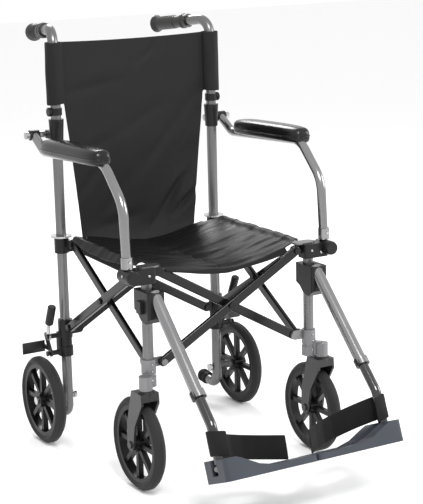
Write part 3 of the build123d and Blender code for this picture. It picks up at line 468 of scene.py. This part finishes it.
for side, way in sides.items():
    low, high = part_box(f"arm_pad_{side}")
    slope = math.atan2((high.z - low.z) - 0.034, high.y - low.y)
    run = (high.y - low.y) / math.cos(slope)
    forwards = Vector((0, -math.cos(slope), math.sin(slope)))
    lift = Vector((0, math.sin(slope), math.cos(slope)))
    start = Vector(((low.x + high.x) / 2, high.y, low.z))
    across_count, along_count = 28, 64

    def pad_point(u, v, start=start, forwards=forwards, lift=lift, run=run):
        """u goes round the pad's section from its lower edge, v from the rear end to the front end."""
        t = -math.cos(v * math.pi)
        plan = superellipse(t, pad_end_power)
        crown = 0.60 + 0.40 * superellipse(t, 3.0)
        angle = 2 * math.pi * u
        c, s = math.cos(angle), math.sin(angle)
        x = pad_width / 2 * plan * math.copysign(abs(c) ** 0.62, c)
        if s >= 0:
            h = pad_middle + (pad_high_edge - pad_middle) * crown * abs(s) ** 0.75 * min(1, plan * 1.4)
        else:
            h = pad_middle - 0.014 * abs(s) ** 0.55 * min(1, plan * 1.6)
        return start + Vector((x, 0, 0)) + forwards * (run * (t + 1) / 2) + lift * (h + 0.002)

    solid = bmesh.new()
    rows = [[solid.verts.new(pad_point(i / across_count, j / along_count)) for i in range(across_count)]
            for j in range(along_count + 1)]
    for lower, upper in zip(rows, rows[1:]):
        for i in range(across_count):
            k = (i + 1) % across_count
            solid.faces.new((lower[i], lower[k], upper[k], upper[i]))
    bmesh.ops.remove_doubles(solid, verts=solid.verts, dist=0.0002)
    bmesh.ops.holes_fill(solid, edges=[edge for edge in solid.edges if edge.is_boundary], sides=0)
    bmesh.ops.recalc_face_normals(solid, faces=solid.faces)
    pad_mesh = bpy.data.meshes.new(f"vinyl_pad_{side}")
    solid.to_mesh(pad_mesh)
    solid.free()
    pad_mesh.materials.append(pad_vinyl)
    pad = bpy.data.objects.new(f"vinyl_pad_{side}", pad_mesh)
    bpy.context.scene.collection.objects.link(pad)
    for face in pad.data.polygons:
        face.use_smooth = True
    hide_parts(f"arm_pad_{side}")
    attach(pad, f"arm_{side}")

    piping_points = [start + Vector((pad_width / 2 * superellipse(t, pad_end_power) * edge, 0, 0))
                     + forwards * (run * (t + 1) / 2) + lift * 0.0145
                     for edge, ts in ((1, range(-24, 25)), (-1, range(23, -24, -1)))
                     for t in (math.sin(k / 24 * math.pi / 2) for k in ts)]
    curve = bpy.data.curves.new(f"pad_piping_{side}", "CURVE")
    curve.dimensions = "3D"
    curve.bevel_depth = 0.0016
    curve.bevel_resolution = 2
    spline = curve.splines.new("POLY")
    spline.points.add(len(piping_points) - 1)
    for place, p in zip(spline.points, piping_points):
        place.co = (*p, 1)
    spline.use_cyclic_u = True
    drawn = bpy.data.objects.new(f"drawn_piping_{side}", curve)
    bpy.context.scene.collection.objects.link(drawn)
    piping_mesh = bpy.data.meshes.new_from_object(drawn.evaluated_get(bpy.context.evaluated_depsgraph_get()))
    bpy.data.objects.remove(drawn)
    piping = bpy.data.objects.new(f"pad_piping_{side}", piping_mesh)
    bpy.context.scene.collection.objects.link(piping)
    piping_mesh.materials.clear()
    piping_mesh.materials.append(pad_vinyl)
    for face in piping_mesh.polygons:
        face.use_smooth = True
    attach(piping, f"arm_{side}")

# --- back cloth ---
# One charcoal nylon cloth with a pocket sewn round each post and a skirt down to the seat.
# It hangs slack enough to fold into slanting creases.
back_nylon = finish("charcoal_nylon", (0.0115, 0.0115, 0.0118), 0.66, mottle=0.14, mottle_scale=9.0, grain=1600.0,
                    relief=0.00010, sheen=0.02, specular=0.14)
back_low, back_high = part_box("back_panel")
cloth_y = (back_low.y + back_high.y) / 2
pocket_bottom = 0.774
sleeve_edge_x = post_axis_x - 0.017
hem_half_width = 0.147
# each crease, in metres: start x and z, end x and z, depth and half its width
creases = [(0.030, 0.455, 0.112, 0.575, 0.0070, 0.011), (0.095, 0.490, 0.150, 0.545, 0.0075, 0.010),
           (0.006, 0.600, 0.160, 0.775, 0.0040, 0.018), (0.011, 0.850, 0.055, 0.895, 0.0025, 0.009),
           (-0.035, 0.696, 0.080, 0.765, 0.0025, 0.016), (-0.166, 0.796, -0.025, 0.822, 0.0022, 0.014),
           (-0.140, 0.655, -0.060, 0.690, 0.0022, 0.014), (-0.110, 0.475, 0.010, 0.505, 0.0025, 0.014),
           (-0.150, 0.560, -0.080, 0.640, 0.0020, 0.012), (0.060, 0.470, 0.128, 0.590, 0.0045, 0.010),
           (0.100, 0.640, 0.168, 0.740, 0.0030, 0.012), (-0.090, 0.500, -0.020, 0.600, 0.0020, 0.018)]

crease_strength = 2.4


def crease_depth(x, z):
    """How far the cloth's creases push it back at a place."""
    total = 0.0
    for x0, z0, x1, z1, depth, width in creases:
        a, b, p = Vector((x0, z0)), Vector((x1, z1)), Vector((x, z))
        t = (p - a).dot(b - a) / (b - a).length_squared
        if -0.15 < t < 1.15:
            away = (p - a - (b - a) * t).length
            taper = math.sin(math.pi * (t + 0.15) / 1.3)
            total += depth * taper * (math.exp(-(away / width) ** 2) - 0.35 * math.exp(-(away / (2.2 * width)) ** 2))
    return total * crease_strength


def back_point(u, v):
    """u goes from the right post to the left one, v up from the hem at the seat."""
    side_share = 2 * u - 1
    foot = back_low.z - 0.026 * (1 - side_share ** 2)
    z = foot + (back_high.z - foot) * v
    if z > pocket_bottom:
        half = sleeve_edge_x
    else:
        drop = (pocket_bottom - z) / (pocket_bottom - back_low.z)
        half = (sleeve_edge_x - 0.004) + (hem_half_width - sleeve_edge_x + 0.004) * drop ** 1.15
        half -= 0.003 * math.sin(math.pi * drop)
    x = side_share * half
    bow = 0.007 * (1 - side_share ** 2)
    near_seat = max(0.0, 1 - (z - foot) / 0.05)
    y = cloth_y + bow + crease_depth(x, z) - 0.016 * near_seat ** 2 * (1 - side_share ** 4)
    y += 0.0016 * noise.noise(Vector((x * 14, z * 11, 0.3)))
    return Vector((x, y, z - 0.004 * (1 - side_share ** 2) * v))


back_cloth, back_area = sheet_mesh("back_cloth", 90, 110, back_point, back_nylon, 0.0018)
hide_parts("back_panel")
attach(back_cloth, "rear_frame_right")
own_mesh(back_cloth)

for side, way in sides.items():
    def sleeve_point(u, v, way=way):
        """u goes round the post from its inboard side, v up from the pocket's lower hem."""
        angle = 2 * math.pi * u
        inboard = max(0.0, math.cos(angle))
        z = pocket_bottom + (back_high.z - pocket_bottom) * v
        slack = 1.0 + 0.10 * noise.noise(Vector((math.cos(angle) * 1.5, math.sin(angle) * 1.5, z * 16 + way)))
        radius = 0.0168 * slack + 0.0050 * inboard ** 3
        z += 0.0015 * math.cos(angle) * (1 - v)
        return Vector((way * (post_axis_x + 0.0015 - radius * math.cos(angle)),
                       cloth_y + radius * 0.95 * math.sin(angle), z))

    sleeve, sleeve_area = sheet_mesh(f"post_pocket_{side}", 40, 26, sleeve_point, back_nylon, 0.0018, closed=True)
    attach(sleeve, f"rear_frame_{side}")

# --- seat sling ---
# Black coated nylon that sags between the side edges; each half folds down about its own side.
seat_nylon = finish("black_coated_nylon", (0.006, 0.006, 0.0062), 0.42, mottle=0.15, mottle_scale=11.0,
                    grain=1500.0, relief=0.00009, sheen=0.0, specular=0.16)
seam_half_gap = 0.0004            # from the middle line to the edge of each half
for side, way in sides.items():
    low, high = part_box(f"seat_half_{side}")
    half_width = max(abs(low.x), abs(high.x))
    middle_y, half_depth = (low.y + high.y) / 2, (high.y - low.y) / 2
    sag = high.z - low.z - 0.004

    def seat_point(u, v, way=way, half_width=half_width, middle_y=middle_y, half_depth=half_depth, sag=sag,
                   high=high):
        """u goes from the middle of the sling to its side edge, v from the front hem to the rear."""
        s = 2 * v - 1
        corner = max(0.0, (abs(s) - 0.80) / 0.20)
        outer = half_width + 0.015 * (1 - s * s) - 0.046 * min(1.0, corner * 1.6) ** 1.5
        x = seam_half_gap + (outer - seam_half_gap) * u
        y = middle_y + half_depth * s
        t = x / half_width
        z = high.z - 0.002 - sag * (1 - min(1.0, t) ** 1.35)
        z += 0.005 * math.exp(-((t - 0.96) / 0.05) ** 2) * max(0.0, 1 - corner)
        z -= 0.9 * max(0.0, t - 1) * half_width
        fade = (1 - t) ** 0.5 if t < 1 else 0.0
        ridge = noise.noise(Vector((x * way * 6.0, y * 40 + x * way * 6.0, 1.7)))
        ridge2 = noise.noise(Vector((x * way * 11.0 + 4, y * 78 - x * way * 9.0, 5.1)))
        z += (0.0056 * ridge + 0.0026 * ridge2) * (0.35 + 0.65 * fade)
        front = max(0.0, 1 - (s + 1) * half_depth / 0.018)
        z -= 0.006 * front ** 2
        return Vector((way * x, y, z))

    half, area = sheet_mesh(f"sling_half_{side}", 90, 170, seat_point, seat_nylon, 0.0024, levels=0)
    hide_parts(f"seat_half_{side}")
    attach(half, f"seat_{side}")

# --- studio ---
# A plain pale floor, a white surround and soft lights; the camera stands to the chair's front right.
floor_mesh = bpy.data.meshes.new("floor")
floor_reach = 12.0
floor_mesh.from_pydata([(-floor_reach, -floor_reach, 0), (floor_reach, -floor_reach, 0),
                        (floor_reach, floor_reach, 0), (-floor_reach, floor_reach, 0)], [], [(0, 1, 2, 3)])
floor = bpy.data.objects.new("floor", floor_mesh)
bpy.context.scene.collection.objects.link(floor)
floor_mesh.materials.append(finish("pale_floor", (0.95, 0.95, 0.95), 0.9, mottle=0.004, specular=0.1))

world = bpy.data.worlds.new("studio")
bpy.context.scene.world = world
world.use_nodes = True
world.node_tree.nodes["Background"].inputs["Color"].default_value = (1, 1, 1, 1)
world.node_tree.nodes["Background"].inputs["Strength"].default_value = 1.0
bpy.context.scene.view_settings.view_transform = "Standard"


def soft_light(name, place, target, size, power):
    """A square area light at place, turned to its target."""
    light = bpy.data.lights.new(name, "AREA")
    light.shape = "SQUARE"
    light.size = size
    light.energy = power
    obj = bpy.data.objects.new(name, light)
    bpy.context.scene.collection.objects.link(obj)
    obj.location = place
    obj.rotation_euler = (Vector(target) - Vector(place)).to_track_quat("-Z", "Y").to_euler()


centre = (0, 0, 0.5)
soft_light("key", (-0.6, -2.2, 2.8), centre, 0.9, 75)
soft_light("fill", (2.4, -1.2, 1.4), centre, 1.0, 30)
soft_light("rim", (0.8, 2.4, 2.4), centre, 1.0, 40)

camera = bpy.data.objects.new("camera", bpy.data.cameras.new("camera"))
bpy.context.scene.collection.objects.link(camera)
frame_middle_y = (front_y + cloth_y) / 2
camera_tilt, camera_roll, camera_heading = 77.290, 1.271, -30.715      # degrees
camera.location = (-1.6779, -2.9841 + frame_middle_y, 1.2185)
camera.rotation_euler = [math.radians(turn) for turn in (camera_tilt, camera_roll, camera_heading)]
camera.data.sensor_width = 36.0
camera.data.lens = 113.06
bpy.context.scene.camera = camera

bpy.context.view_layer.update()
